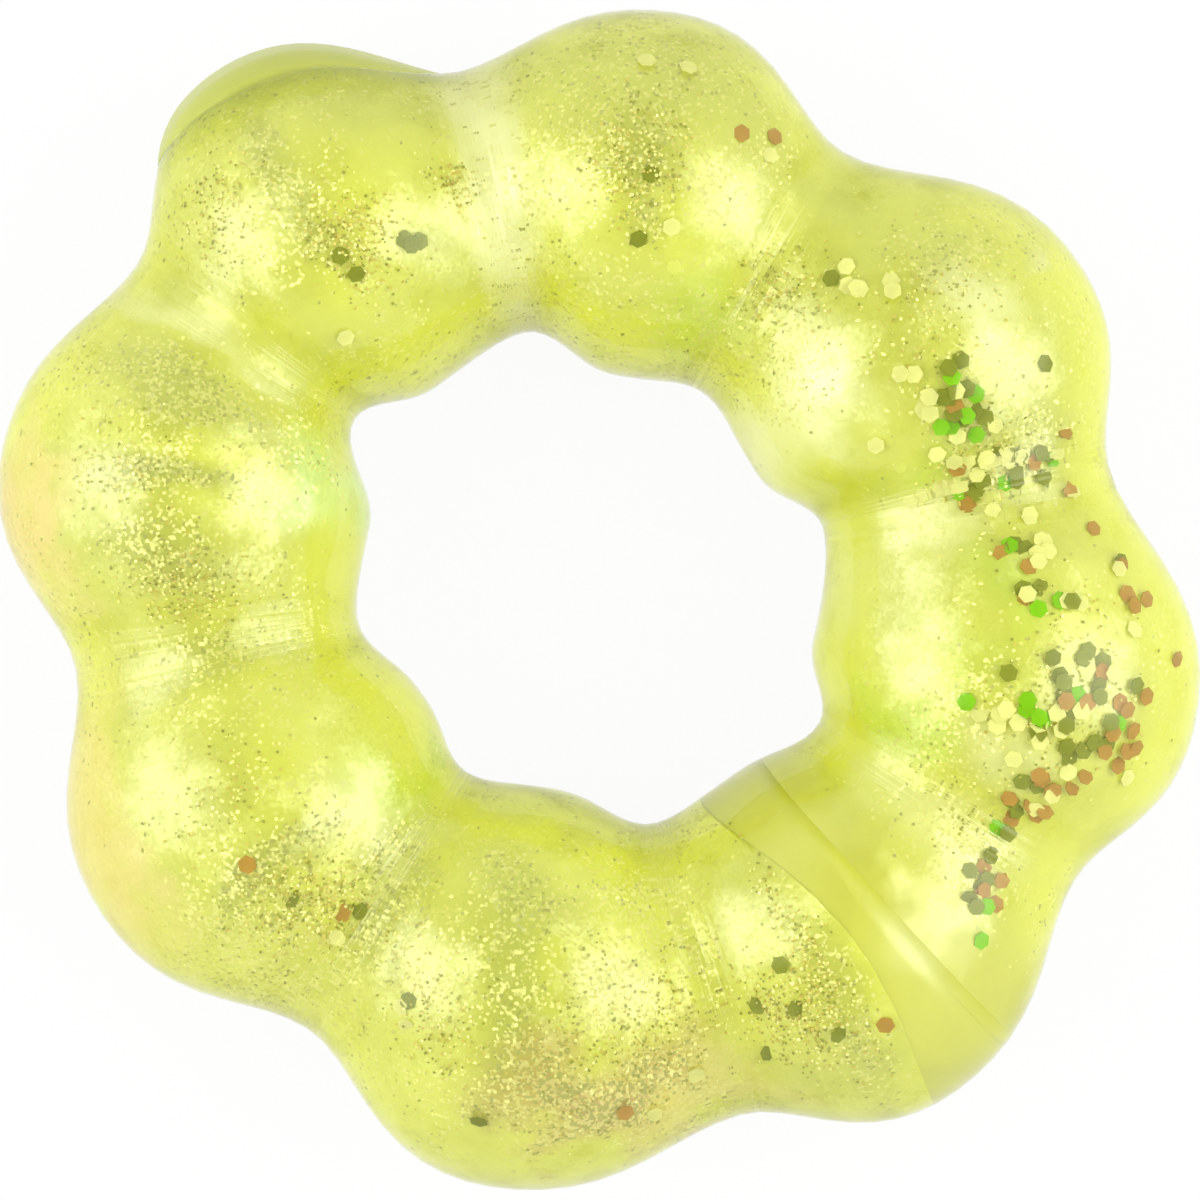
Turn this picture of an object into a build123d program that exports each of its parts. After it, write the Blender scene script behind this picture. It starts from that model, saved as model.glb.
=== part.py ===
"""Soft juggling ring: a clear rubber tube of eight lobes, joined end to end and filled with glitter gel.

Frame: millimetres, +Z up, origin on the surface that the ring lies on, at the middle of its plan.
Headings are in degrees anticlockwise from +X, as seen from above.
"""

from build123d import *
import math
import os
import random

# The tube runs through eight lobes and eight necks in turn. It is soft, so it doesn't lie quite regular.
# Each row holds a heading, the distance of the tube's middle from the ring's and half the tube's width.
STATIONS = (
    (127.0, 43.9, 19.1),  # a lobe, and the filler is in it; lobes and necks alternate from here
    (145.0, 42.1, 13.5),
    (167.0, 41.6, 19.0),
    (190.0, 38.0, 14.5),
    (215.0, 39.9, 19.7),
    (238.0, 38.2, 15.3),
    (261.0, 41.8, 20.4),
    (286.0, 41.0, 15.4),
    (306.0, 44.3, 19.6),  # the lobe with the joint
    (328.5, 42.9, 15.2),
    (346.0, 43.6, 19.8),
    (372.5, 39.4, 14.8),
    (392.0, 39.9, 19.5),
    (419.0, 36.5, 14.1),
    (441.0, 39.6, 18.6),
    (464.0, 39.5, 13.6),
)
FILLER_STATION = 0
JOINT_STATION = 8
LOBE_HALF_HEIGHT = 18.2
NECK_HALF_HEIGHT = 14.0
BULGE = 0.13  # how much fuller a lobe's flanks are than a cosine wave, as a share of its swell
REST_SAG = 0.8  # how far each lobe's underside is pressed flat by the table
WALL = 2.4  # rubber skin
STEPS = 2  # sections that guide each loft on the way from a neck to a lobe

# The joint plug has a flange between the tube's ends, a sealing cup on one side and a nose on the other.
FLANGE = 1.0
CUP_LIP = 5.0  # reach of the cup's lip from the middle of the flange
CUP_FLOOR = 1.2  # reach of the bottom of the cup
LIP_EDGE = 0.6  # thickness of the lip
NOSE_REACH = 8.0
NOSE_DOME = 3.0  # how far the nose bulges

# The filler plug is a peg through the skin, under an oval patch.
FILLER_SHIFT = -0.2  # its place along the tube from its lobe, in stations
PEG_RADIUS = 2.5
PEG_REACH = 1.5  # how far the peg stands into the gel
PATCH_LENGTH = 25.0  # along the tube
PATCH_HEIGHT = 19.0
PATCH = 0.8  # thickness

# Glitter is hexagons cut from film, measured across their flats.
COARSE = 1.6
COARSE_FILM = 0.12
FINE = 0.6
FINE_FILM = 0.08
COVER = 0.4  # least gel between a flake's corners and what is round the gel
DEPTH = 1.6  # flakes float within this much more gel under the skin
TILT = 35.0  # most that a flake leans from the skin above it, degrees
FINE_PER_LOBE = 7
SEED = 7

# Coarse flakes gather in places: a station, a distance outwards from the tube's middle, how far they
# spread from there, and how many are olive, green, copper and pale.
COLOURS = ("olive", "green", "copper", "pale")
GATHERINGS = (
    (10.0, 6.5, 10, (8, 6, 8, 5)),
    (8.9, 8.0, 5, (2, 2, 1, 2)),
    (11.6, 2.0, 8, (6, 5, 2, 5)),
    (11.0, 3.5, 6, (3, 2, 2, 3)),
    (13.9, 2.0, 10, (2, 2, 1, 1)),
    (0.2, -8.0, 7, (2, 1, 1, 1)),
    (4.6, 7.5, 7, (1, 2, 0, 1)),
    (6.8, 9.0, 9, (2, 1, 1, 1)),
    (2.2, 3.0, 9, (1, 1, 0, 1)),
)

FIT = 0.1  # gap between pieces that fit together

AXIS_HEIGHT = LOBE_HALF_HEIGHT - REST_SAG
STATION_LENGTH = 2 * math.pi * STATIONS[FILLER_STATION][1] / len(STATIONS)  # along the tube, about
CLEAR = 4 * LOBE_HALF_HEIGHT  # longer than anything that a cut has to pass through
FROM_BOTTOM = (Align.CENTER, Align.CENTER, Align.MIN)


# The tube's shape


def row(station):
    """Heading, reach, half width and half height of the tube at a whole station, counted on past the last."""
    turns, place = divmod(station, len(STATIONS))
    heading, reach, half_width = STATIONS[place]
    half_height = NECK_HALF_HEIGHT if place % 2 else LOBE_HALF_HEIGHT
    return heading + 360 * turns, reach, half_width, half_height


def measures(station):
    """The same at any station, also between two rows."""
    lobe = round(station / 2) * 2
    away = abs(station - lobe)
    swell = (1 + math.cos(math.pi * away)) / 2 + BULGE * math.sin(math.pi * away) ** 2
    lobe_heading, *lobe_sizes = row(lobe)
    neck_heading, *neck_sizes = row(lobe + (1 if station > lobe else -1))
    heading = lobe_heading + (neck_heading - lobe_heading) * away
    return heading, *(low + (high - low) * swell for low, high in zip(neck_sizes, lobe_sizes))


def section_plane(station):
    """Plane across the tube, its x axis outwards, its y axis down and its z axis along the tube."""
    heading, reach, *size = measures(station)
    outwards = Vector(1, 0, 0).rotate(Axis.Z, heading)
    origin = outwards * reach + Vector(0, 0, AXIS_HEIGHT)
    return Plane(origin=origin, x_dir=outwards, z_dir=Vector(0, 0, 1).cross(outwards))


def half_size(station):
    """Half the tube's width and height at a station."""
    heading, reach, *size = measures(station)
    return size


def section(station, inset):
    """The tube's section at a station, drawn in by inset."""
    half_width, half_height = half_size(station)
    return section_plane(station) * Ellipse(half_width - inset, half_height - inset)


def lobe_bar(station, inset):
    """One lobe as a solid bar from neck to neck, pressed flat below so that the wall under it stays even."""
    sections = [section(station + step / STEPS, inset) for step in range(-STEPS, STEPS + 1)]
    return loft(sections) & Pos(0, 0, inset) * Box(4 * CLEAR, 4 * CLEAR, CLEAR, align=FROM_BOTTOM)


def tube_bar(inset):
    """The whole tube as a solid bar."""
    lobes = [lobe_bar(station, inset) for station in range(0, len(STATIONS), 2)]
    return lobes[0].fuse(*lobes[1:])


# Plugs


def filler_axis():
    """Plane on the tube's middle at the filler, its z axis outwards."""
    across = section_plane(FILLER_STATION + FILLER_SHIFT)
    return Plane(origin=across.origin, x_dir=across.z_dir, z_dir=across.x_dir)


def peg_foot():
    """Distance of the peg's inner end from the tube's middle."""
    return half_size(FILLER_STATION + FILLER_SHIFT)[0] - WALL - PEG_REACH


def peg(gap):
    """The filler's peg grown by gap, far longer outwards than it has to be."""
    return filler_axis().offset(peg_foot() - gap) * Cylinder(PEG_RADIUS + gap, CLEAR, align=FROM_BOTTOM)


def joint_block(gap):
    """Block across the tube from the bottom of the joint's cup to its nose, grown by gap."""
    axis = section_plane(JOINT_STATION)
    lip_radius = LOBE_HALF_HEIGHT - WALL - LIP_EDGE
    cup_depth = CUP_LIP - CUP_FLOOR
    cup_radius = (lip_radius**2 + cup_depth**2) / (2 * cup_depth)
    nose_width = half_size(JOINT_STATION)[0] - WALL
    nose_radius = (nose_width**2 + NOSE_DOME**2) / (2 * NOSE_DOME)
    length = CUP_LIP + NOSE_REACH + 2 * gap
    block = axis.offset(-CUP_LIP - gap) * Cylinder(CLEAR / 2, length, align=FROM_BOTTOM)
    block -= axis.offset(-CUP_FLOOR - cup_radius) * Sphere(cup_radius - gap)
    return block & axis.offset(NOSE_REACH - nose_radius) * Sphere(nose_radius + gap)


def joint_disc(gap):
    """Disc as thick as the flange and grown by gap, wide enough to cut the tube through."""
    return section_plane(JOINT_STATION) * Cylinder(CLEAR / 2, FLANGE + 2 * gap)


def joint_plug():
    """Cup and nose inside the tube, with the flange between its ends."""
    return (joint_block(0) & lobe_bar(JOINT_STATION, WALL + FIT)) + (joint_disc(-FIT) & lobe_bar(JOINT_STATION, 0))


def filler_plug():
    """Peg with an oval patch that follows the lobe."""
    oval = extrude(filler_axis() * Ellipse(PATCH_LENGTH / 2, PATCH_HEIGHT / 2), CLEAR)
    over = lobe_bar(FILLER_STATION, -PATCH)
    under = lobe_bar(FILLER_STATION, -FIT)
    return ((over - under) & oval) + (peg(0) & over)


# Glitter


class Flake:
    """One hexagon of film, floating near the top of the gel."""

    def __init__(self, station, outwards, across_flats, film, depth):
        self.film = film
        self.rim = across_flats / math.sqrt(3)
        self.station = station
        half_width, half_height = half_size(station)
        inset = WALL + COVER + self.rim + depth
        lean = max(-1.0, min(1.0, outwards / (half_width - inset)))
        height = math.sqrt(1 - lean**2) * (half_height - inset)
        across = section_plane(station)
        self.middle = across.from_local_coords(Vector(lean * (half_width - inset), -height, 0))
        up = (self.middle - across.origin).normalized()
        self.plane = Plane(origin=self.middle, z_dir=up)

    def turn(self, chance):
        """Lean the flake a little and spin it, by chance."""
        lean = chance.uniform(-TILT, TILT), chance.uniform(-TILT, TILT)
        self.plane = self.plane.rotated((lean[0], lean[1], chance.uniform(0, 60)))

    def solid(self, gap):
        hexagon = self.plane.offset(-self.film / 2 - gap) * RegularPolygon(self.rim + gap, 6)
        return extrude(hexagon, self.film + 2 * gap)

    def is_clear(self, others):
        """Whether it is clear of the plugs and of other flakes."""
        reach = self.rim + COVER
        along = section_plane(JOINT_STATION).to_local_coords(self.middle)
        if -CUP_LIP - reach < along.Z < NOSE_REACH + reach and along.length < CLEAR / 2:
            return False
        beside = filler_axis().to_local_coords(self.middle)
        if math.hypot(beside.X, beside.Y) < PEG_RADIUS + reach and beside.Z > peg_foot() - reach:
            return False
        return all((self.middle - other.middle).length > self.rim + other.rim + 2 * FIT for other in others)


def scatter():
    """All the flakes, as a list for each node's name."""
    chance = random.Random(SEED)
    nodes = {colour + "_flakes": [] for colour in COLOURS} | {"fine_glitter": []}
    placed = []

    def add(name, station, outwards, spread, size, film):
        while True:
            near = station + chance.gauss(0, spread / 2) / STATION_LENGTH
            beside = outwards + chance.gauss(0, spread / 2)
            flake = Flake(near, beside, size, film, chance.uniform(0, DEPTH))
            flake.turn(chance)
            if flake.is_clear(placed):
                break
        placed.append(flake)
        nodes[name].append(flake)

    for station, outwards, spread, counts in GATHERINGS:
        for colour, count in zip(COLOURS, counts):
            for index in range(count):
                add(colour + "_flakes", station, outwards, spread, COARSE, COARSE_FILM)
    for lobe in range(0, len(STATIONS), 2):
        for index in range(FINE_PER_LOBE):
            add("fine_glitter", lobe, 0, LOBE_HALF_HEIGHT, FINE, FINE_FILM)
    return nodes


# The assembly

nodes = scatter()
cavities = [flake.solid(FIT) for flakes in nodes.values() for flake in flakes]

parts = {
    "skin": tube_bar(0) - tube_bar(WALL) - joint_disc(0) - peg(FIT),
    "joint_plug": joint_plug(),
    "filler_plug": filler_plug(),
    "gel_fill": (tube_bar(WALL + FIT) - joint_block(FIT) - peg(FIT)).cut(*cavities),
}
for name, flakes in nodes.items():
    parts[name] = Compound([flake.solid(0) for flake in flakes])

middle = parts["skin"].bounding_box().center()
os.makedirs("parts", exist_ok=True)
for name, shape in parts.items():
    export_step(Pos(-middle.X, -middle.Y, 0) * shape, f"parts/{name}.step")
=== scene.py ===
import math
import random

import bmesh
import bpy
from mathutils import Matrix, Vector


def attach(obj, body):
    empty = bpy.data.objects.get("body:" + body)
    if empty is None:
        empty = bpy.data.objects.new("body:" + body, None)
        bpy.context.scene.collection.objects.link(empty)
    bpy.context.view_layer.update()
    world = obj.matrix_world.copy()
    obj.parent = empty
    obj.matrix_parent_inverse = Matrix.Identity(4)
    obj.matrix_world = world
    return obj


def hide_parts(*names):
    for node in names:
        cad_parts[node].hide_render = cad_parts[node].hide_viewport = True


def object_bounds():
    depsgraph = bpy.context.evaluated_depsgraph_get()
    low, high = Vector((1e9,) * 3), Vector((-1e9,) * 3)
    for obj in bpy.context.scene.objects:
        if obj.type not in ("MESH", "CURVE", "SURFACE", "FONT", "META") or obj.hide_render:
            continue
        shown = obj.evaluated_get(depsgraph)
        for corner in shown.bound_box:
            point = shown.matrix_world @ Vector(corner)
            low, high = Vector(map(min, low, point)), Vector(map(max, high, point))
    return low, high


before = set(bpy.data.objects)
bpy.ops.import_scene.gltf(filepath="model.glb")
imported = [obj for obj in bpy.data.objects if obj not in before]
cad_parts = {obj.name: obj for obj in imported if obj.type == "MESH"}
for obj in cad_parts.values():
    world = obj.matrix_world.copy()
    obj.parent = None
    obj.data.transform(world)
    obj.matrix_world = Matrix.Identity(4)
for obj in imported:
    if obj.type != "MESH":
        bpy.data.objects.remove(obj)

cad_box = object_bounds()
low, high = cad_box

# ------------------------------------------------------------------ table, light and camera
# A plain white table, two very wide soft lamps beside the ring and a long lens that looks straight
# down on it. The table is white to the lens and still shows the ring's own soft shade.


def new_material(name):
    """An empty material's node tree and its output, and the material itself."""
    material = bpy.data.materials.new(name)
    material.use_nodes = True
    tree = material.node_tree
    tree.nodes.clear()
    return material, tree, tree.nodes.new("ShaderNodeOutputMaterial")


def add_node(tree, kind, inputs=None, **settings):
    """A shader node, with plain values or other nodes' sockets on its inputs."""
    node = tree.nodes.new("ShaderNode" + kind)
    for name, value in settings.items():
        setattr(node, name, value)
    for name, value in (inputs or {}).items():
        if isinstance(value, bpy.types.NodeSocket):
            tree.links.new(value, node.inputs[name])
        else:
            node.inputs[name].default_value = value
    return node


def math_node(tree, operation, *values):
    """The result of a Math node."""
    return add_node(tree, "Math", dict(enumerate(values)), operation=operation).outputs[0]


def ramp(tree, value, start, end, first, last, soft=False):
    """A value carried from the span start-end to first-last and held at both ends."""
    spans = {"Value": value, "From Min": start, "From Max": end, "To Min": first, "To Max": last}
    kind = "SMOOTHSTEP" if soft else "LINEAR"
    return add_node(tree, "MapRange", spans, interpolation_type=kind).outputs[0]


TABLE_SIZE = 4
TABLE_GAP = 0.0003  # the ring's flats rest this far above the table, so that the faces don't coincide
TABLE_GLOW = 0.93  # share of the table's look that is plain white to the lens, to gloss and through glass

table_white, tree, output = new_material("table_white")
card = add_node(tree, "BsdfPrincipled", {"Base Color": (0.9, 0.9, 0.9, 1), "Roughness": 0.9}).outputs[0]
rays = add_node(tree, "LightPath").outputs
seen = math_node(tree, "MAXIMUM", rays["Is Camera Ray"], rays["Is Glossy Ray"])
seen = math_node(tree, "MAXIMUM", seen, rays["Is Transmission Ray"])
glow = add_node(tree, "Emission", {"Color": (1, 1, 1, 1), "Strength": 1.0}).outputs[0]
mixed = add_node(tree, "MixShader", {0: math_node(tree, "MULTIPLY", seen, TABLE_GLOW), 1: card, 2: glow})
tree.links.new(mixed.outputs[0], output.inputs["Surface"])

bpy.ops.mesh.primitive_plane_add(size=TABLE_SIZE, location=(0, 0, low[2] - TABLE_GAP))
table = bpy.context.object
table.name = "table"
table.data.materials.append(table_white)

WALLS_LIGHT = 1.05
CEILING_LIGHT = 0.3
WALLS_TOP = 0.35  # how steeply upwards the walls' light starts to fade: 0 is level and 1 straight up
CEILING_EDGE = 0.95  # and from where on there is only the ceiling's

world = bpy.data.worlds.new("studio")
bpy.context.scene.world = world
world.use_nodes = True
tree = world.node_tree
tree.nodes.clear()
rays = add_node(tree, "LightPath").outputs
upward = add_node(tree, "SeparateXYZ", {0: add_node(tree, "TexCoord").outputs["Generated"]}).outputs["Z"]
room = ramp(tree, upward, WALLS_TOP, CEILING_EDGE, WALLS_LIGHT, CEILING_LIGHT, soft=True)
strength = add_node(tree, "Mix", {0: rays["Is Camera Ray"], 2: room, 3: 1.0}, data_type="FLOAT")
sky = add_node(tree, "Background", {"Color": (1, 1, 1, 1), "Strength": strength.outputs[0]})
tree.links.new(sky.outputs[0], add_node(tree, "OutputWorld").inputs["Surface"])

LAMP_HEIGHT = 0.34
LAMP_ASIDE = 0.38
LAMP_SIZE = (0.46, 0.6)
LAMP_EDGE = 2.25  # makes up for the light that the soft edges take away
LAMPS = (("lamp_left", -1, 1.33), ("lamp_right", 1, 1.55))  # a name, a side and a power in watts

for name, side, power in LAMPS:
    lamp = bpy.data.lights.new(name, "AREA")
    lamp.shape = "RECTANGLE"
    lamp.size, lamp.size_y = LAMP_SIZE
    lamp.energy = power
    lamp.use_nodes = True
    tree = lamp.node_tree
    tree.nodes.clear()
    across = add_node(tree, "SeparateXYZ", {0: add_node(tree, "NewGeometry").outputs["Parametric"]}).outputs
    fade = LAMP_EDGE
    for direction in ("X", "Y"):
        from_middle = math_node(tree, "MULTIPLY_ADD", across[direction], 2.0, -1.0)
        dimmed = math_node(tree, "MULTIPLY", from_middle, from_middle)
        fade = math_node(tree, "MULTIPLY", fade, math_node(tree, "SUBTRACT", 1.0, dimmed))
    beam = add_node(tree, "Emission", {"Strength": fade})
    tree.links.new(beam.outputs[0], add_node(tree, "OutputLight").inputs["Surface"])
    holder = bpy.data.objects.new(name, lamp)
    place = Vector((side * LAMP_ASIDE, 0, LAMP_HEIGHT))
    holder.matrix_world = Matrix.Translation(place) @ (-place).to_track_quat("-Z", "Y").to_matrix().to_4x4()
    bpy.context.collection.objects.link(holder)

LENS = 135
SENSOR = 36
FRAME_WIDTH = 1.0005 * (high[0] - low[0])  # a hair wider than the ring

lens = bpy.data.cameras.new("camera")
lens.lens = LENS
lens.sensor_width = SENSOR
camera = bpy.data.objects.new("camera", lens)
camera.location = (0, 0, (low[2] + high[2]) / 2 + FRAME_WIDTH * LENS / SENSOR)
bpy.context.collection.objects.link(camera)
bpy.context.scene.camera = camera
bpy.context.scene.view_settings.view_transform = "Standard"

# ------------------------------------------------------------------ skin
# The skin is one tube of soft, clear lime rubber, moulded in eight lobes. The gel inside bends light
# as the rubber does, so the eye sees only the outer face, and through it the gel.

# Each row holds a heading in degrees, the distance of the tube's middle from the ring's and half the
# tube's width, in millimetres. Lobes and necks alternate, and the rows are the part's own.
STATIONS = (
    (127.0, 43.9, 19.1),
    (145.0, 42.1, 13.5),
    (167.0, 41.6, 19.0),
    (190.0, 38.0, 14.5),
    (215.0, 39.9, 19.7),
    (238.0, 38.2, 15.3),
    (261.0, 41.8, 20.4),
    (286.0, 41.0, 15.4),
    (306.0, 44.3, 19.6),
    (328.5, 42.9, 15.2),
    (346.0, 43.6, 19.8),
    (372.5, 39.4, 14.8),
    (392.0, 39.9, 19.5),
    (419.0, 36.5, 14.1),
    (441.0, 39.6, 18.6),
    (464.0, 39.5, 13.6),
)
JOINT = 8  # the joint's station
MM = 0.001
LOBE_HALF_HEIGHT = 18.2
NECK_HALF_HEIGHT = 14.0
BULGE = 0.13  # how much fuller than a plain wave a lobe is on its way to a neck
REST_SAG = 0.8  # how far the ring's weight presses each lobe flat
MIDDLE = Vector((1.41, -2.01, REST_SAG - LOBE_HALF_HEIGHT))  # from the headings' middle to the frame's
STATION_LENGTH = 17.0  # along the tube
AROUND = 72  # faces round the tube
MERGE = 0.01  # points that lie closer than this are one


def row(station):
    """Heading, reach, half width and half height of the tube at a whole station."""
    turns, place = divmod(station, len(STATIONS))
    heading, reach, half_width = STATIONS[place]
    return heading + 360 * turns, reach, half_width, NECK_HALF_HEIGHT if place % 2 else LOBE_HALF_HEIGHT


def measures(station):
    """The same at any station, also between two rows."""
    lobe = round(station / 2) * 2
    away = abs(station - lobe)
    swell = (1 + math.cos(math.pi * away)) / 2 + BULGE * math.sin(math.pi * away) ** 2
    lobe_heading, *lobe_sizes = row(lobe)
    neck_heading, *neck_sizes = row(lobe + (1 if station > lobe else -1))
    heading = lobe_heading + (neck_heading - lobe_heading) * away
    return heading, *(least + (most - least) * swell for least, most in zip(neck_sizes, lobe_sizes))


def in_tube(station, angle, inset, share=1.0):
    """A point in the tube, in millimetres: angle is 0 outwards and a quarter turn at the top.

    Inset is measured from the skin's face, and share runs from the tube's middle, 0, to that inset, 1.
    """
    heading, reach, half_width, half_height = measures(station)
    outwards = share * (half_width - inset) * math.cos(angle)
    up = share * (half_height - inset) * math.sin(angle)
    heading = math.radians(heading)
    point = Vector(((reach + outwards) * math.cos(heading), (reach + outwards) * math.sin(heading), up))
    point -= MIDDLE
    point.z = max(point.z, inset)
    return point


def piece_from(bm, name, *materials):
    """A finished piece from a bmesh in millimetres, riding on the ring's one body."""
    bmesh.ops.scale(bm, vec=(MM, MM, MM), verts=bm.verts)
    mesh = bpy.data.meshes.new(name)
    bm.to_mesh(mesh)
    bm.free()
    for material in materials:
        mesh.materials.append(material)
    piece = bpy.data.objects.new(name, mesh)
    bpy.context.collection.objects.link(piece)
    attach(piece, "root")
    return piece


def sweep(bm, profile):
    """A face swept round the tube's middle in a new bmesh, from a grid that is bent to its profile.

    Each row of the profile has a station, an inset, a share and how far the station moves back at the
    tube's sides, most of all towards the hole. The face's u is the station, and its v is the share of
    a turn from outwards.
    """
    rows = len(profile) - 1
    grid = bmesh.ops.create_grid(bm, x_segments=rows, y_segments=AROUND, size=0.5, calc_uvs=True)
    uv = bm.loops.layers.uv.verify()
    places = {vert: (round((vert.co.x + 0.5) * rows), vert.co.y + 0.5) for vert in grid["verts"]}
    for face in bm.faces:
        face.smooth = True
        for loop in face.loops:
            index, turn = places[loop.vert]
            loop[uv].uv = profile[index][0], turn
    for vert, (index, turn) in places.items():
        station, inset, share, back = profile[index]
        angle = math.tau * turn
        lean = math.cos(angle)
        vert.co = in_tube(station - back * lean**2 * (1 - lean / 2), angle, inset, share)


def close_up(bm):
    """Join a shape's seams and poles and point its faces outwards."""
    bmesh.ops.remove_doubles(bm, verts=bm.verts, dist=MERGE)
    bmesh.ops.recalc_face_normals(bm, faces=bm.faces)


def noise(tree, vector, scale, detail):
    """Cloudy noise: its outputs."""
    return add_node(tree, "TexNoise", {"Vector": vector, "Scale": scale, "Detail": detail}).outputs


def let_light_by(tree, output, shader, tint, share=1.0):
    """Give a see-through material its shader, and let a share of the light by, tinted, to what it shades."""
    shade = math_node(tree, "MULTIPLY", add_node(tree, "LightPath").outputs["Is Shadow Ray"], share)
    by = add_node(tree, "BsdfTransparent", {"Color": (*tint, 1)})
    mixed = add_node(tree, "MixShader", {0: shade, 1: shader.outputs[0], 2: by.outputs[0]})
    tree.links.new(mixed.outputs[0], output.inputs["Surface"])


WRINKLE_DEPTH = 0.0011
WRINKLES = (13.0, 1.1, 1.0)  # how closely they lie along the tube and round it
WRINKLE_REACH = 0.3  # how far from a neck they go, in stations
WAVE_SCALE = 90.0
WAVE_SHARE = 0.35  # the skin's slow waves beside its wrinkles
SEAM_WIDTH = 0.02  # half the width of the line where the tube's ends are bonded, in stations
SEAM_SHARE = 0.012  # and its depth beside the wrinkles'

lime_skin, tree, output = new_material("lime_skin")
on_tube = add_node(tree, "TexCoord").outputs["UV"]
where = add_node(tree, "TexCoord").outputs["Object"]
station = add_node(tree, "SeparateXYZ", {0: on_tube}).outputs["X"]
from_neck = math_node(tree, "PINGPONG", math_node(tree, "ADD", station, 1.0), 1.0)
near_neck = ramp(tree, from_neck, 0.0, WRINKLE_REACH, 1.0, 0.0, soft=True)
stretched = add_node(tree, "Mapping", {"Vector": on_tube, "Scale": WRINKLES}).outputs[0]
folds = math_node(tree, "MULTIPLY", noise(tree, stretched, scale=1.0, detail=2.0)["Fac"], near_neck)
waves = noise(tree, where, WAVE_SCALE, detail=1.0)["Fac"]
relief = math_node(tree, "ADD", folds, math_node(tree, "MULTIPLY", waves, WAVE_SHARE))
from_joint = math_node(tree, "PINGPONG", math_node(tree, "SUBTRACT", station, JOINT), len(STATIONS) / 2)
seam = ramp(tree, from_joint, 0.0, SEAM_WIDTH, SEAM_SHARE, 0.0, soft=True)
relief = math_node(tree, "SUBTRACT", relief, seam)
bump = add_node(tree, "Bump", {"Strength": 0.8, "Distance": WRINKLE_DEPTH, "Height": relief}).outputs[0]
glass = add_node(tree, "BsdfPrincipled", {
    "Base Color": (0.94, 0.97, 0.72, 1),
    "Roughness": 0.07,
    "IOR": 1.42,
    "Transmission Weight": 1.0,
    "Normal": bump,
})
let_light_by(tree, output, glass, tint=(0.95, 0.98, 0.72))

STEPS = 10  # rows for each station

bm = bmesh.new()
sweep(bm, [(JOINT + step / STEPS, 0.0, 1.0, 0.0) for step in range(len(STATIONS) * STEPS + 1)])
close_up(bm)
skin = piece_from(bm, "skin_face", lime_skin)
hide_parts("skin")

# ------------------------------------------------------------------ gel
# The clear gel fills the skin from the joint's nose right round to its cup. It is so full of glitter
# dust that it looks like one cloudy body, and where the specks lie flat they throw the lamps back. Its
# colour also holds painted light: pale clouds of painted highlight, olive clouds that are partly
# painted shade, and painted light towards the tube's sides.

# Clouds of colour in the gel: a station, how far outwards from the tube's middle in half widths, how
# long in stations and how wide in half widths, the colour and its strength. Some are painted light:
# the pale clouds are painted highlights, and the olive ones are darker dusty gel with painted shade.
# The pale colour is a painted highlight, standing in for the lamps' bright patches on the gel.
PAINTED_HIGHLIGHT = (0.95, 0.94, 0.55)
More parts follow.
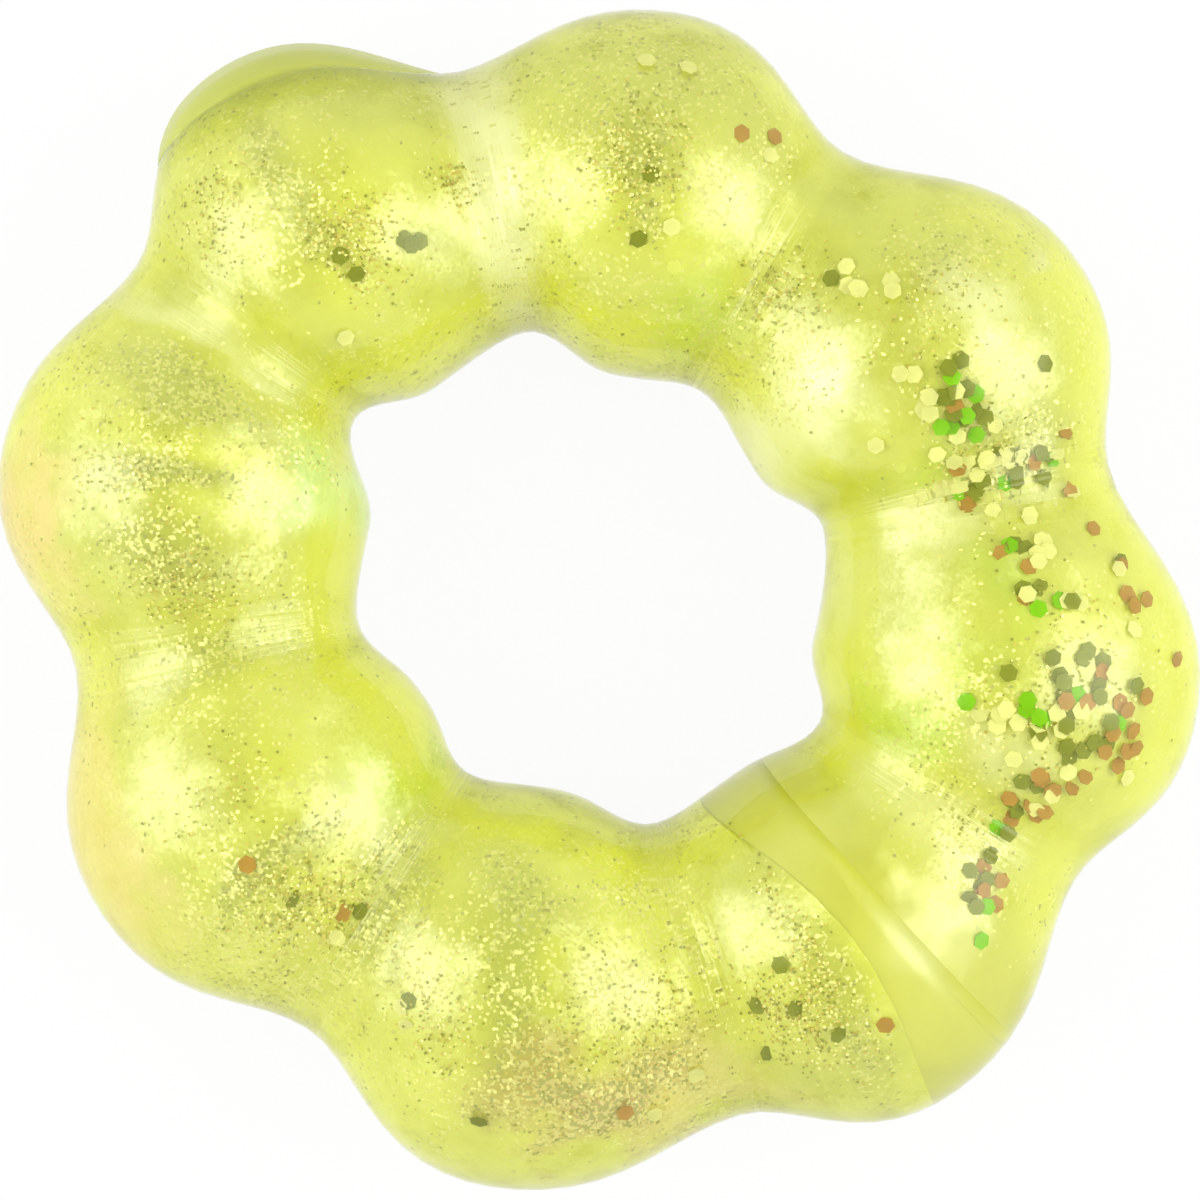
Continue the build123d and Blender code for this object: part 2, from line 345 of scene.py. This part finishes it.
# The olive colour is darker dusty gel with painted shade, where less light falls between the highlights.
OLIVE_DUST_AND_SHADE = (0.37, 0.40, 0.05)
LEAF = (0.58, 0.72, 0.05)
MINT = (0.70, 0.88, 0.42)
ROSE = (0.84, 0.66, 0.24)
RUST = (0.52, 0.35, 0.08)
CLOUDS_AND_PAINTED_LIGHT = (
    (14.95, 0.0, 0.28, 1.7, PAINTED_HIGHLIGHT, 1.0),
    (12.2, -0.75, 0.6, 0.45, PAINTED_HIGHLIGHT, 0.9),
    (8.85, -0.1, 0.3, 0.7, PAINTED_HIGHLIGHT, 0.45),
    (12.1, 0.42, 0.25, 0.3, PAINTED_HIGHLIGHT, 0.8),
    (9.45, -0.5, 0.45, 0.35, LEAF, 0.8),
    (10.6, -0.7, 0.7, 0.4, PAINTED_HIGHLIGHT, 0.3),
    (10.9, -0.25, 0.3, 0.35, PAINTED_HIGHLIGHT, 0.6),
    (10.1, -0.3, 0.3, 0.35, LEAF, 0.3),
    (9.5, 0.1, 0.3, 0.35, PAINTED_HIGHLIGHT, 0.5),
    (10.5, 0.0, 0.3, 0.3, LEAF, 0.7),
    (11.3, -0.2, 0.25, 0.4, LEAF, 0.6),
    (17.1, 0.5, 0.12, 1.0, PAINTED_HIGHLIGHT, 0.5),
    (14.1, 0.7, 0.8, 0.5, OLIVE_DUST_AND_SHADE, 0.35),
    (14.0, 0.1, 0.25, 0.5, OLIVE_DUST_AND_SHADE, 0.5),
    (16.0, 0.2, 0.2, 0.6, OLIVE_DUST_AND_SHADE, 0.6),
    (16.3, 0.8, 0.9, 0.3, OLIVE_DUST_AND_SHADE, 0.15),
    (17.5, 0.1, 0.3, 0.8, OLIVE_DUST_AND_SHADE, 0.6),
    (18.0, 0.1, 0.14, 0.7, OLIVE_DUST_AND_SHADE, 0.8),
    (18.4, 0.0, 0.3, 0.5, OLIVE_DUST_AND_SHADE, 0.5),
    (19.1, 0.0, 0.3, 0.9, OLIVE_DUST_AND_SHADE, 0.5),
    (20.3, 0.1, 0.25, 0.6, OLIVE_DUST_AND_SHADE, 0.7),
    (21.0, -0.2, 0.4, 0.7, OLIVE_DUST_AND_SHADE, 0.6),
    (22.0, -0.5, 0.6, 0.5, OLIVE_DUST_AND_SHADE, 0.5),
    (22.0, 0.2, 0.2, 0.6, OLIVE_DUST_AND_SHADE, 0.5),
    (23.8, 0.3, 0.2, 0.8, OLIVE_DUST_AND_SHADE, 0.4),
    (12.3, 0.5, 0.35, 0.4, OLIVE_DUST_AND_SHADE, 0.4),
    (11.3, 0.3, 0.5, 0.6, OLIVE_DUST_AND_SHADE, 0.4),
    (17.7, -0.8, 0.5, 0.4, MINT, 0.8),
    (18.3, 0.9, 0.5, 0.3, ROSE, 0.9),
    (19.7, 0.9, 0.7, 0.25, ROSE, 0.7),
    (22.4, 0.52, 0.6, 0.36, RUST, 1.0),
    (22.9, 0.8, 0.6, 0.2, ROSE, 0.5),
    (20.5, -0.7, 0.5, 0.3, LEAF, 0.6),
    (13.3, -0.6, 0.5, 0.4, LEAF, 0.6),
)
CLOUD_EDGE = (0.2, 1.2)  # where a cloud starts to fade and where it ends, beside its own size
CLOUD_SCATTER = (0.5, 1.2, 0.0)  # how far its edge is torn along the tube and across it
TEAR_SCALE = 120.0


def vector_node(tree, operation, *values):
    """The result of a Vector Math node: a number for a length, and a vector for the rest."""
    node = add_node(tree, "VectorMath", dict(enumerate(values)), operation=operation)
    return node.outputs["Value" if operation == "LENGTH" else "Vector"]


def swing(tree, colour, amount):
    """A random colour as a push that goes either way: amount is three numbers, or a socket."""
    return vector_node(tree, "MULTIPLY", vector_node(tree, "SUBTRACT", colour, (0.5, 0.5, 0.5)), amount)


def mix_colours(tree, share, first, second):
    """Two colours mixed, by the second one's share: the first may be a socket."""
    if not isinstance(first, bpy.types.NodeSocket):
        first = (*first, 1)
    return add_node(tree, "Mix", {0: share, 6: first, 7: (*second, 1)}, data_type="RGBA").outputs[2]


gel_cloud, tree, output = new_material("gel_cloud")
where = add_node(tree, "TexCoord").outputs["Object"]
on_tube = add_node(tree, "SeparateXYZ", {0: add_node(tree, "TexCoord").outputs["UV"]}).outputs
to_side = math_node(tree, "COSINE", math_node(tree, "MULTIPLY", on_tube["Y"], math.tau))
place = add_node(tree, "CombineXYZ", {"X": on_tube["X"], "Y": to_side}).outputs[0]
torn = swing(tree, noise(tree, where, TEAR_SCALE, detail=4.0)["Color"], CLOUD_SCATTER)
place = vector_node(tree, "ADD", place, torn)

# The dust is mottled all through, and the gel is painted lighter towards the tube's sides: painted light at
# its rims.
GEL_MOTTLE = ((0.60, 0.62, 0.06), (0.72, 0.74, 0.07))
MOTTLE_SCALE = 60.0
MOTTLE_SPAN = (0.35, 0.65)  # the noise between its two colours
PAINTED_SIDE_LIGHT = (0.84, 0.86, 0.08)
PAINTED_LIGHT_SIDES = (0.7, 0.98)  # from where to where the painted light grows, in half widths
PAINTED_LIGHT_SHARE = 0.8

mottle = ramp(tree, noise(tree, where, MOTTLE_SCALE, detail=3.0)["Fac"], *MOTTLE_SPAN, 0.0, 1.0)
tint = mix_colours(tree, mottle, *GEL_MOTTLE)
# Painted light: a lighter tint towards the tube's sides, where the rims would otherwise fall into shade.
lit_sides = ramp(tree, math_node(tree, "ABSOLUTE", to_side), *PAINTED_LIGHT_SIDES, 0.0, PAINTED_LIGHT_SHARE)
tint = mix_colours(tree, lit_sides, tint, PAINTED_SIDE_LIGHT)
dusty = 0.0
# Each cloud mixes its colour in: the pale ones paint highlights, and the olive ones paint shade as well as
# dust.
for station, outwards, length, width, colour, strength in CLOUDS_AND_PAINTED_LIGHT:
    away = vector_node(tree, "SUBTRACT", place, (station, outwards, 0))
    away = vector_node(tree, "MULTIPLY", away, (1 / length, 1 / width, 0))
    share = ramp(tree, vector_node(tree, "LENGTH", away), *CLOUD_EDGE, strength, 0.0, soft=True)
    tint = mix_colours(tree, share, tint, colour)
    if colour in (OLIVE_DUST_AND_SHADE, RUST):
        dusty = math_node(tree, "MAXIMUM", dusty, share)

# Beside the joint plug's nose there is no dust, and the gel has the plug's own colour.
PLAIN_LIME = (0.60, 0.60, 0.045)
NOSE_FADE = (0.38, 0.8)  # stations past the joint

by_nose = ramp(tree, on_tube["X"], *(JOINT + reach for reach in NOSE_FADE), 1.0, 0.0, soft=True)
off_nose = math_node(tree, "SUBTRACT", 1.0, by_nose)
tint = mix_colours(tree, by_nose, tint, PLAIN_LIME)

# Single specks catch the light or stand dark before it, and they crowd where the clouds are dusty.
SPECK_SCALE = 3300.0
CROWD_SCALE = 52.0
CROWD_SPAN = (0.46, 0.66)  # the noise between empty and crowded gel
CROWDS = (0.02, 0.45)  # the share of specks to be seen in each
DUSTY_CROWD = 0.9
GRAINS = (0.45, 0.06)  # the share of them that is dark: what a dusty cloud adds, and what is so anywhere
BRIGHT_SPECK = (0.90, 0.85, 0.34)
DARK_SPECK = (0.34, 0.35, 0.06)
BRIGHT_SHARE = 0.55
DARK_SHARE = 0.75

specks = add_node(tree, "TexVoronoi", {"Vector": where, "Scale": SPECK_SCALE}).outputs["Color"]
lot = add_node(tree, "SeparateColor", {0: specks}).outputs
crowd = ramp(tree, noise(tree, where, CROWD_SCALE, detail=5.0)["Fac"], *CROWD_SPAN, *CROWDS)
crowd = math_node(tree, "MAXIMUM", crowd, math_node(tree, "MULTIPLY", dusty, DUSTY_CROWD))
foil = math_node(tree, "LESS_THAN", lot["Red"], math_node(tree, "MULTIPLY", crowd, off_nose))
grains = math_node(tree, "LESS_THAN", lot["Green"], math_node(tree, "MULTIPLY_ADD", dusty, *GRAINS))
dark = math_node(tree, "MULTIPLY", foil, grains)
tint = mix_colours(tree, math_node(tree, "MULTIPLY", foil, BRIGHT_SHARE), tint, BRIGHT_SPECK)
tint = mix_colours(tree, math_node(tree, "MULTIPLY", dark, DARK_SHARE), tint, DARK_SPECK)

# The dust lies in sheets that lean out of the tube's face, and each speck leans a little from its sheet.
SHEET_SCALE = 260.0
SHEET_LEAN = (0.6, 0.6, 0.6)
SPECK_LEAN = (0.34, 0.12)  # how much more a bright speck leans, and how much any does
SPECK_SHINE = (0.25, 0.08)  # and the same for how much of a metal's gloss they have

drift = swing(tree, noise(tree, where, SHEET_SCALE, detail=3.0)["Color"], SHEET_LEAN)
lean = math_node(tree, "MULTIPLY", math_node(tree, "MULTIPLY_ADD", foil, *SPECK_LEAN), off_nose)
facing = add_node(tree, "NewGeometry").outputs["Normal"]
facing = vector_node(tree, "ADD", facing, swing(tree, specks, lean))
facing = vector_node(tree, "NORMALIZE", vector_node(tree, "ADD", facing, drift))
cloud = add_node(tree, "BsdfPrincipled", {
    "Base Color": tint,
    "Metallic": math_node(tree, "MULTIPLY_ADD", foil, *SPECK_SHINE),
    "Roughness": 0.33,
    "IOR": 2.3,
    "Normal": facing,
})
tree.links.new(cloud.outputs[0], output.inputs["Surface"])

GEL_INSET = 3.0
NOSE_REACH = 8.0  # how far the joint plug's nose stands into the gel from the joint's middle
NOSE_DOME = 3.0  # the part of it that is domed
DOME_REACH = 0.5  # how far the gel's own dome stands past the joint's middle, in the plug's cup
DOME_DEPTH = 4.8  # and how far back its edge lies at the tube's sides, on the average
OVER_PLUG = 1.0  # how far the gel's edge reaches back over the plug's nose
FEATHER = 0.2  # and how far that edge is sunk, so that it ends softly
FEATHER_LENGTH = 0.3  # in stations
EDGE = 0.02  # the rows beside a rim lie this close to it, so that it stays crisp: a share of the radius
SIDE_EDGE = 0.0015  # and a part of a station
SHARES = [part / 5 for part in range(5)] + [1 - EDGE]  # the rows of a rounded end, from its pole


def gel_rows():
    """The gel's profile from its hollow end, at the plug's nose, round to its domed end in the cup."""
    nose = JOINT + NOSE_REACH / STATION_LENGTH
    rim = nose - NOSE_DOME / STATION_LENGTH
    end = JOINT + len(STATIONS) + DOME_REACH / STATION_LENGTH
    depth = DOME_DEPTH / STATION_LENGTH
    hollow = [(nose - (nose - rim) * share**2, GEL_INSET, share, 0.0) for share in SHARES]
    rim -= OVER_PLUG / STATION_LENGTH
    hollow.append((rim, GEL_INSET + FEATHER, 1 - EDGE, 0.0))
    count = round((end - rim) * STEPS)
    stations = [rim + (end - rim) * step / count for step in range(count + 1)]
    stations[1:1] = [rim + SIDE_EDGE]
    stations[-1:-1] = [end - SIDE_EDGE]
    side = []
    for station in stations:
        inset = GEL_INSET + FEATHER * max(0.0, 1 - (station - rim) / FEATHER_LENGTH)
        side.append((station, inset, 1.0, depth * max(0.0, 1 - 2 * (end - station))))
    dome = [(end, GEL_INSET, share, depth * share**2) for share in SHARES[::-1]]
    return hollow + side + dome


bm = bmesh.new()
sweep(bm, gel_rows())
close_up(bm)
gel = piece_from(bm, "gel_body", gel_cloud)
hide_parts("gel_fill")

# ------------------------------------------------------------------ joint plug
# A plug of plain lime rubber joins the tube's ends: its nose stands into the gel on one side, and the
# gel fills its cup on the other. Its flange is bonded in between the ends and can't be told from them.

CUP_LIP = 8.5  # how far back the cup's lip and its floor lie from the joint's middle
CUP_FLOOR = 1.2
PLUG_INSET = GEL_INSET + 0.15  # a little deeper than the gel, so that their faces don't coincide
PLUG_STEPS = 6
PLUG_MOTTLE = ((0.57, 0.57, 0.04), (0.64, 0.64, 0.05))


def mottled(tree, first, second, scale, detail):
    """A colour that drifts between two in cloudy patches."""
    where = add_node(tree, "TexCoord").outputs["Object"]
    return mix_colours(tree, noise(tree, where, scale, detail)["Fac"], first, second)


plug_rubber, tree, output = new_material("plug_rubber")
shade = mottled(tree, *PLUG_MOTTLE, scale=70.0, detail=3.0)
soft = add_node(tree, "BsdfPrincipled", {"Base Color": shade, "Roughness": 0.33, "IOR": 2.3})
tree.links.new(soft.outputs[0], output.inputs["Surface"])


def plug_rows():
    """The plug's profile from the bottom of its cup, over the lip and along its side, to its nose."""
    floor, lip, nose = (JOINT + reach / STATION_LENGTH for reach in (-CUP_FLOOR, -CUP_LIP, NOSE_REACH))
    rim = nose - NOSE_DOME / STATION_LENGTH
    cup = [(floor + (lip - floor) * share**2, PLUG_INSET, share, 0.0) for share in SHARES]
    side = [(lip + (rim - lip) * step / PLUG_STEPS, PLUG_INSET, 1.0, 0.0) for step in range(PLUG_STEPS + 1)]
    dome = [(nose + (rim - nose) * share**2, PLUG_INSET, share, 0.0) for share in SHARES[::-1]]
    return cup + side + dome


bm = bmesh.new()
sweep(bm, plug_rows())
close_up(bm)
plug = piece_from(bm, "plug_body", plug_rubber)
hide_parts("joint_plug")

# ------------------------------------------------------------------ filler plug
# The hole that the gel went in by is closed with a peg under a thin oval patch of plain rubber, which
# is bonded on and fades into the lobe's face.

FILLER = -0.2  # the filler's station
PATCH_LENGTH = 25.0
PATCH_HEIGHT = 22.5
PATCH_RISE = 0.7  # how far the patch stands out of the skin at its middle
PATCH_SUNK = 0.1  # and how far its rim and its underside lie under the skin's face
PATCH_MOTTLE = ((0.56, 0.60, 0.11), (0.66, 0.70, 0.14))

patch_rubber, tree, output = new_material("patch_rubber")
shade = mottled(tree, *PATCH_MOTTLE, scale=90.0, detail=3.0)
soft = add_node(tree, "BsdfPrincipled", {"Base Color": shade, "Roughness": 0.4, "Alpha": 0.6})
let_light_by(tree, output, soft, tint=(0.97, 0.98, 0.88))

# Its two faces start as square grids, which are rounded to discs and laid on the lobe.
bm = bmesh.new()
for outer in (True, False):
    disc = bmesh.ops.create_grid(bm, x_segments=24, y_segments=16, size=1.0)["verts"]
    for vert in disc:
        x, y = vert.co.x, vert.co.y
        x, y = x * math.sqrt(1 - y * y / 2), y * math.sqrt(1 - x * x / 2)
        swell = max(0.0, 1 - (x * x + y * y) ** 3)
        inset = PATCH_SUNK - (PATCH_RISE + PATCH_SUNK) * swell if outer else PATCH_SUNK
        station = FILLER + x * PATCH_LENGTH / 2 / STATION_LENGTH
        vert.co = in_tube(station, math.asin(y * PATCH_HEIGHT / 2 / LOBE_HALF_HEIGHT), inset)
close_up(bm)
for face in bm.faces:
    face.smooth = True
patch = piece_from(bm, "filler_face", patch_rubber)
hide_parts("filler_plug")

# ------------------------------------------------------------------ flakes
# Hexagons punched from metallised film, 1.6 mm across, hang at the top of the gel. Most of them have
# gathered in two lobes, and a few lie by themselves elsewhere.

COARSE = 1.6  # across a hexagon's flats
COARSE_FILM = 0.12  # the film's thickness
FLAKE_INSET = (2.3, 2.9)  # between these depths under the skin's face
FLAKE_TILT = 26  # in degrees, at most
FLAKE_ALPHA = 0.76
FILM_SHADE = (0.95, 0.95, 0.80)  # the tint of the light that gets by the films
FILM_LETS_BY = 0.7  # and its share
DEEPER = 0.72  # a film's darker patches beside its own colour
OUTERMOST = 0.99  # no hexagon lies further out than this, in half widths
FILMS = {
    "olive_flakes": (0.27, 0.30, 0.03),
    "green_flakes": (0.27, 0.66, 0.0),
    "copper_flakes": (0.56, 0.31, 0.07),
    "pale_flakes": (0.98, 0.96, 0.44),
}

# A station, how far outwards in half widths, how far they spread from there along and across the tube in
# millimetres, and how many are olive, green, copper and pale.
GATHERINGS = (
    (11.75, 0.05, 4.5, 6.0, (11, 4, 1, 7)),
    (11.2, 0.0, 6.5, 8.0, (4, 5, 2, 24)),
    (11.1, 0.6, 5.0, 4.0, (4, 1, 2, 2)),
    (10.5, 0.3, 8.0, 6.0, (7, 3, 3, 10)),
    (9.95, 0.3, 6.0, 6.0, (16, 3, 3, 5)),
    (9.85, 0.62, 5.0, 3.5, (4, 0, 11, 2)),
    (10.5, 0.72, 8.0, 3.0, (1, 0, 7, 2)),
    (9.35, 0.42, 4.5, 4.5, (5, 0, 8, 3)),
    (9.8, 0.0, 4.0, 4.0, (1, 4, 0, 6)),
    (8.75, 0.46, 4.5, 3.0, (6, 3, 5, 1)),
    (12.5, 0.05, 3.0, 3.0, (1, 0, 0, 7)),
    (13.9, -0.2, 7.0, 6.0, (2, 0, 0, 1)),
    (14.1, 0.7, 2.0, 1.0, (0, 0, 0, 2)),
    (13.4, 0.55, 4.0, 4.0, (0, 0, 2, 1)),
    (15.9, -0.35, 8.0, 4.0, (5, 0, 0, 1)),
    (20.8, 0.3, 10.0, 4.0, (3, 0, 2, 1)),
    (21.4, 0.45, 3.0, 2.0, (0, 0, 0, 2)),
    (23.5, 0.4, 9.0, 6.0, (5, 0, 1, 0)),
    (22.6, 0.7, 9.0, 3.0, (1, 0, 1, 2)),
)


def hexagon_of(film, material_index=0):
    """A hexagon of film, 1 mm across its flats, as a mesh to be copied."""
    bm = bmesh.new()
    rim = 1 / math.sqrt(3)
    bmesh.ops.create_cone(bm, cap_ends=True, segments=6, radius1=rim, radius2=rim, depth=film)
    for face in bm.faces:
        face.material_index = material_index
    mesh = bpy.data.meshes.new("hexagon")
    bm.to_mesh(mesh)
    bm.free()
    return mesh


def under_skin(station, outwards, inset):
    """The place at a depth under the skin, with its Z straight towards the skin."""
    angle = math.acos(outwards)
    middle = in_tube(station, angle, inset)
    normal = in_tube(station, angle, inset - 1) - middle
    return Matrix.Translation(middle) @ normal.to_track_quat("Z", "Y").to_matrix().to_4x4()


def strewn(station, outwards, along, sideways, chance):
    """A station and a share outwards, drawn at random round a gathering."""
    near = station + chance.gauss(0, along / 2) / STATION_LENGTH
    beside = outwards + chance.gauss(0, sideways / 2) / LOBE_HALF_HEIGHT
    return near, beside


def lay(bm, mesh, size, station, outwards, inset, tilt, chance):
    """Add a hexagon of a size to a bmesh, nearly along the skin above it."""
    axis = Vector((chance.gauss(0, 1), chance.gauss(0, 1), 0))
    place = under_skin(station, max(-OUTERMOST, min(OUTERMOST, outwards)), inset)
    place @= Matrix.Rotation(math.radians(chance.uniform(0, tilt)), 4, axis)
    place @= Matrix.Rotation(chance.uniform(0, math.pi), 4, "Z") @ Matrix.Diagonal((size, size, 1, 1))
    mesh.transform(place)
    bm.from_mesh(mesh)
    mesh.transform(place.inverted())


chance = random.Random(11)
for colour, (node, film_colour) in enumerate(FILMS.items()):
    film, tree, output = new_material(node + "_film")
    deeper = tuple(DEEPER * part for part in film_colour)
    shade = mottled(tree, deeper, film_colour, scale=500.0, detail=2.0)
    foil = add_node(tree, "BsdfPrincipled", {"Base Color": shade, "Roughness": 0.5,
                                             "Specular IOR Level": 0.15, "Alpha": FLAKE_ALPHA})
    let_light_by(tree, output, foil, FILM_SHADE, FILM_LETS_BY)
    hexagon = hexagon_of(COARSE_FILM)
    bm = bmesh.new()
    for *gathering, counts in GATHERINGS:
        for flake in range(counts[colour]):
            near, beside = strewn(*gathering, chance)
            lay(bm, hexagon, COARSE, near, beside, chance.uniform(*FLAKE_INSET), FLAKE_TILT, chance)
    flakes = piece_from(bm, "loose_" + node, film)
    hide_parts(node)

# ------------------------------------------------------------------ fine glitter
# Specks of the same films, cut much finer, are spread through the gel like dust and lie thickest along
# the undersides of the light patches.

FINE = (0.14, 0.32)  # between these widths across a hexagon's flats
FINE_FILM = 0.06
FINE_INSET = (2.6, 3.1)
FINE_TILT = 35
SPECK_COLOURS = ((0.99, 0.95, 0.45), (0.72, 0.60, 0.16), (0.40, 0.40, 0.08))
SPECK_ODDS = (5, 4, 4)  # how often each colour comes
DUST_FROM = 0.6  # the specks keep between these stations, counted from the joint
DUST_TO = 15.95
DUST_EDGE = 0.25  # and end this much sooner at the tube's sides, where the cup's edge curves back

# A station, how far outwards, how far they spread along and across in millimetres, and how many.
DUST = (
    (15.9, -0.2, 5.0, 6.0, 520),
    (16.4, 0.5, 6.0, 5.0, 260),
    (15.2, 0.1, 3.0, 6.0, 180),
    (18.6, 0.0, 4.5, 9.0, 480),
    (18.0, 0.3, 5.0, 7.0, 200),
    (20.6, 0.2, 6.0, 7.0, 700),
    (19.8, 0.1, 5.0, 8.0, 200),
    (21.6, 0.3, 5.0, 7.0, 360),
    (22.6, 0.2, 8.0, 8.0, 620),
    (23.5, 0.3, 5.0, 7.0, 680),
    (23.75, 0.0, 2.5, 13.0, 300),
    (14.1, 0.1, 5.0, 8.0, 420),
    (12.9, -0.2, 5.0, 7.0, 360),
    (12.2, 0.2, 6.0, 8.0, 240),
    (11.2, 0.1, 6.0, 8.0, 240),
    (10.0, 0.3, 9.0, 8.0, 360),
    (8.9, 0.2, 3.0, 6.0, 80),
)

speck_films = []
for index, colour in enumerate(SPECK_COLOURS):
    film, tree, output = new_material(f"speck_film_{index}")
    foil = add_node(tree, "BsdfPrincipled", {"Base Color": (*colour, 1), "Roughness": 0.3, "Metallic": 0.3})
    let_light_by(tree, output, foil, FILM_SHADE, FILM_LETS_BY)
    speck_films.append(film)

hexagons = [hexagon_of(FINE_FILM, index) for index in range(len(SPECK_COLOURS))]
bm = bmesh.new()
chance = random.Random(23)
for *gathering, count in DUST:
    for speck in range(count):
        near, beside = strewn(*gathering, chance)
        near = max(JOINT + DUST_FROM, min(JOINT + DUST_TO - DUST_EDGE * beside**2, near))
        hexagon = chance.choices(hexagons, SPECK_ODDS)[0]
        size = chance.uniform(*FINE)
        lay(bm, hexagon, size, near, beside, chance.uniform(*FINE_INSET), FINE_TILT, chance)
dust = piece_from(bm, "glitter_dust", *speck_films)
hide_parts("fine_glitter")

# ------------------------------------------------------------------ air bubbles
# A few small bubbles of air were shut in with the gel and lie against the top of the skin. They have
# no colour, and only their rims show.

BUBBLE_INSET = 2.6
BUBBLE_FLAT = 0.35  # their height beside their width
RIM_FADE = (0.15, 0.9)  # from where to where a bubble's face turns away enough to be seen
RIM_ALPHA = (0.04, 0.45)  # its opacity in the middle and at the rim

# A station, how far outwards and a radius in millimetres.
BUBBLES = (
    (19.65, 0.35, 1.7),
    (16.05, 0.62, 0.9),
    (15.1, -0.35, 0.8),
    (13.7, -0.45, 0.7),
    (12.6, -0.5, 1.1),
    (11.4, -0.45, 0.6),
    (18.9, -0.55, 0.5),
    (20.9, -0.5, 0.6),
    (22.2, -0.1, 0.5),
    (9.3, -0.3, 0.8),
)

bubble_air, tree, output = new_material("bubble_air")
rim = add_node(tree, "LayerWeight", {"Blend": 0.3}).outputs["Facing"]
shell = add_node(tree, "BsdfPrincipled", {
    "Base Color": (0.90, 0.92, 0.45, 1),
    "Roughness": 0.15,
    "Alpha": ramp(tree, rim, *RIM_FADE, *RIM_ALPHA),
})
let_light_by(tree, output, shell, tint=(1.0, 1.0, 1.0))

bm = bmesh.new()
for station, outwards, radius in BUBBLES:
    ball = bmesh.ops.create_uvsphere(bm, u_segments=20, v_segments=12, radius=radius)["verts"]
    bmesh.ops.scale(bm, vec=(1, 1, BUBBLE_FLAT), verts=ball)
    bmesh.ops.transform(bm, matrix=under_skin(station, outwards, BUBBLE_INSET), verts=ball)
for face in bm.faces:
    face.smooth = True
bubbles = piece_from(bm, "air_bubbles", bubble_air)
